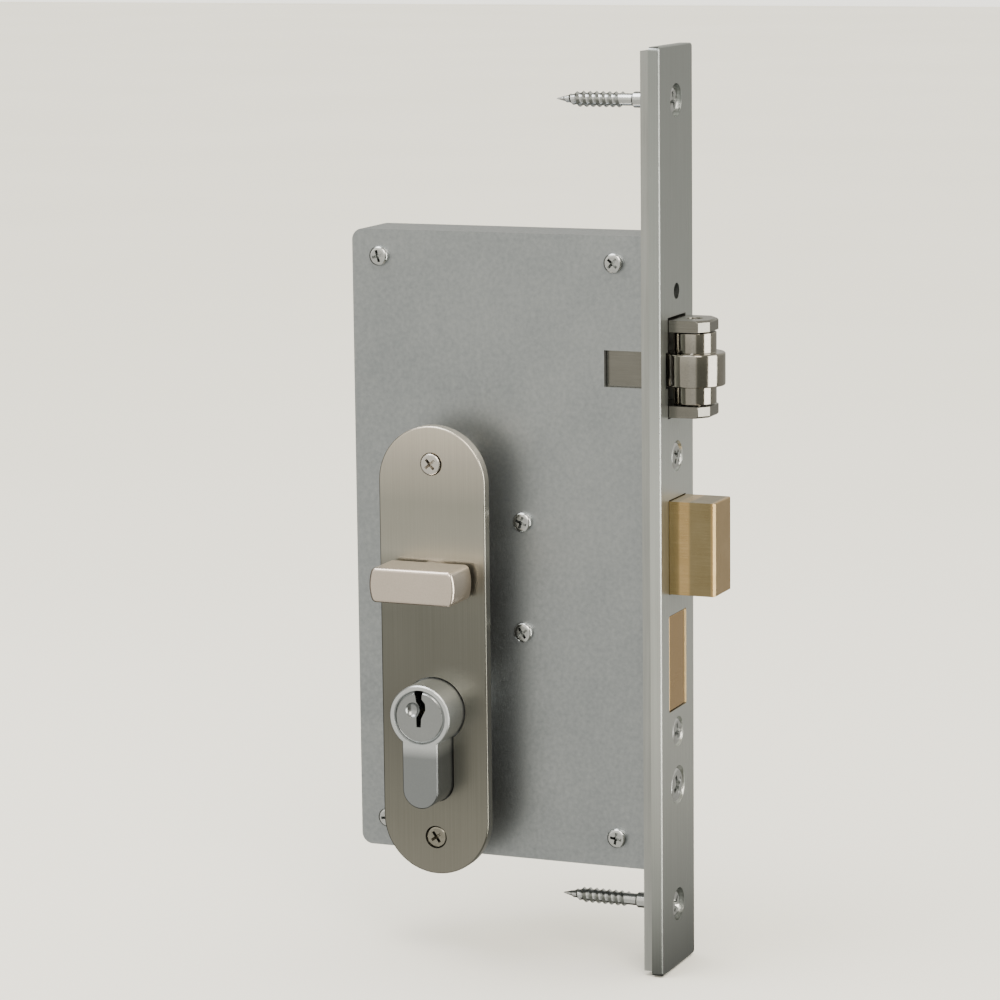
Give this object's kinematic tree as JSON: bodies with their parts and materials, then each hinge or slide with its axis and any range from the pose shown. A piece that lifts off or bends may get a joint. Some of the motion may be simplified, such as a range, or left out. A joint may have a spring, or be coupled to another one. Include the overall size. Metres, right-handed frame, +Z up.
{
  "type": "mortise lock",
  "caption": "Mortise lock set: long faceplate, sprung roller bolt, turn-driven and key-driven brass bolts, euro profile cylinder and round-ended escutcheons.",
  "frame": {"origin": "middle of the faceplate's outer face at the height of the key cylinder's axis, in the middle of the door's thickness", "axes": "+X out of the door's edge, -Y towards the side with the turn, +Z up"},
  "size_m": [0.1009, 0.0692, 0.243],
  "materials": {
    "satin_stainless": "satin brushed",
    "satin_nickel": "fine satin",
    "satin_chrome": "satin",
    "polished_steel": "ground and polished",
    "solid_brass": "milled, fine scratches",
    "zinc_steel": "bright zinc plated",
    "case_steel": "zinc plated sheet",
    "spring_steel": "oiled",
    "pin_brass": "turned"
  },
  "bodies": {
    "lock": {"faceplate": "satin_stainless", "inner_forend": "case_steel", "case_tray": "case_steel", "case_cover": "case_steel", "case_pillars": "zinc_steel", "cover_screws": "zinc_steel", "faceplate_screws": "zinc_steel", "wood_screws": "zinc_steel", "cylinder_screw": "zinc_steel", "tail_spring": "spring_steel", "spring_stop": "case_steel", "roller_spring": "spring_steel", "adjusting_block": "case_steel", "adjusting_screw": "zinc_steel", "cylinder_body": "satin_chrome", "driver_pins": "pin_brass", "chamber_stoppers": "pin_brass", "pin_springs": "spring_steel", "front_escutcheon": "satin_nickel", "rear_escutcheon": "satin_nickel", "escutcheon_posts": "zinc_steel", "escutcheon_screws": "satin_nickel"},
    "roller_bolt": {"roller_carriage": "polished_steel", "roller_axle": "polished_steel", "guide_rod": "zinc_steel"},
    "roller": {"roller": "polished_steel"},
    "upper_bolt": {"upper_bolt": "solid_brass", "upper_bolt_tail": "case_steel", "upper_bolt_rivets": "zinc_steel"},
    "turn": {"hub": "zinc_steel", "turn_knob": "satin_nickel", "turn_clip": "spring_steel", "spindle": "zinc_steel"},
    "lower_bolt": {"lower_bolt": "solid_brass", "lower_bolt_tail": "case_steel", "lower_bolt_rivets": "zinc_steel"},
    "front_plug": {"front_plug": "satin_chrome", "front_circlip": "spring_steel", "front_key_pins": "pin_brass"},
    "cam": {"cylinder_cam": "zinc_steel", "cam_clutch": "zinc_steel"},
    "rear_plug": {"rear_plug": "satin_chrome", "rear_circlip": "spring_steel", "rear_key_pins": "pin_brass"}
  },
  "joints": [
    {"name": "roller_bolt_slide", "type": "slide", "parent": "lock", "child": "roller_bolt", "axis": [-1, 0, 0], "range_m": [0, 0.0115], "stiffness_N_per_m": 1500, "springref_m": -0.01, "deforming": ["roller_spring"]},
    {"name": "roller_spin", "type": "hinge", "parent": "roller_bolt", "child": "roller", "pos_m": [0.005, 0, 0.09085], "axis": [0, 0, 1], "continuous": true},
    {"name": "turn_spin", "type": "hinge", "parent": "lock", "child": "turn", "pos_m": [-0.06, 0, 0.0353], "axis": [0, -1, 0], "range_deg": [0, 90]},
    {"name": "upper_bolt_slide", "type": "slide", "parent": "lock", "child": "upper_bolt", "axis": [-1, 0, 0], "range_m": [0, 0.0126]},
    {"name": "front_key_turn", "type": "hinge", "parent": "lock", "child": "front_plug", "pos_m": [-0.06, -0.02, 0], "axis": [0, 1, 0], "range_deg": [0, 59]},
    {"name": "cam_turn", "type": "hinge", "parent": "lock", "child": "cam", "pos_m": [-0.06, 0, 0], "axis": [0, 1, 0], "range_deg": [0, 59]},
    {"name": "lower_bolt_slide", "type": "slide", "parent": "lock", "child": "lower_bolt", "axis": [1, 0, 0], "range_m": [0, 0.0126]},
    {"name": "rear_key_turn", "type": "hinge", "parent": "lock", "child": "rear_plug", "pos_m": [-0.06, 0.02, 0], "axis": [0, 1, 0], "range_deg": [-59, 59]}
  ],
  "couplings": [
    {"joint": "turn_spin", "follows": "upper_bolt_slide", "rad_per_m": 124.6},
    {"joint": "front_key_turn", "follows": "lower_bolt_slide", "rad_per_m": 81.7},
    {"joint": "cam_turn", "follows": "lower_bolt_slide", "rad_per_m": 81.7}
  ]
}
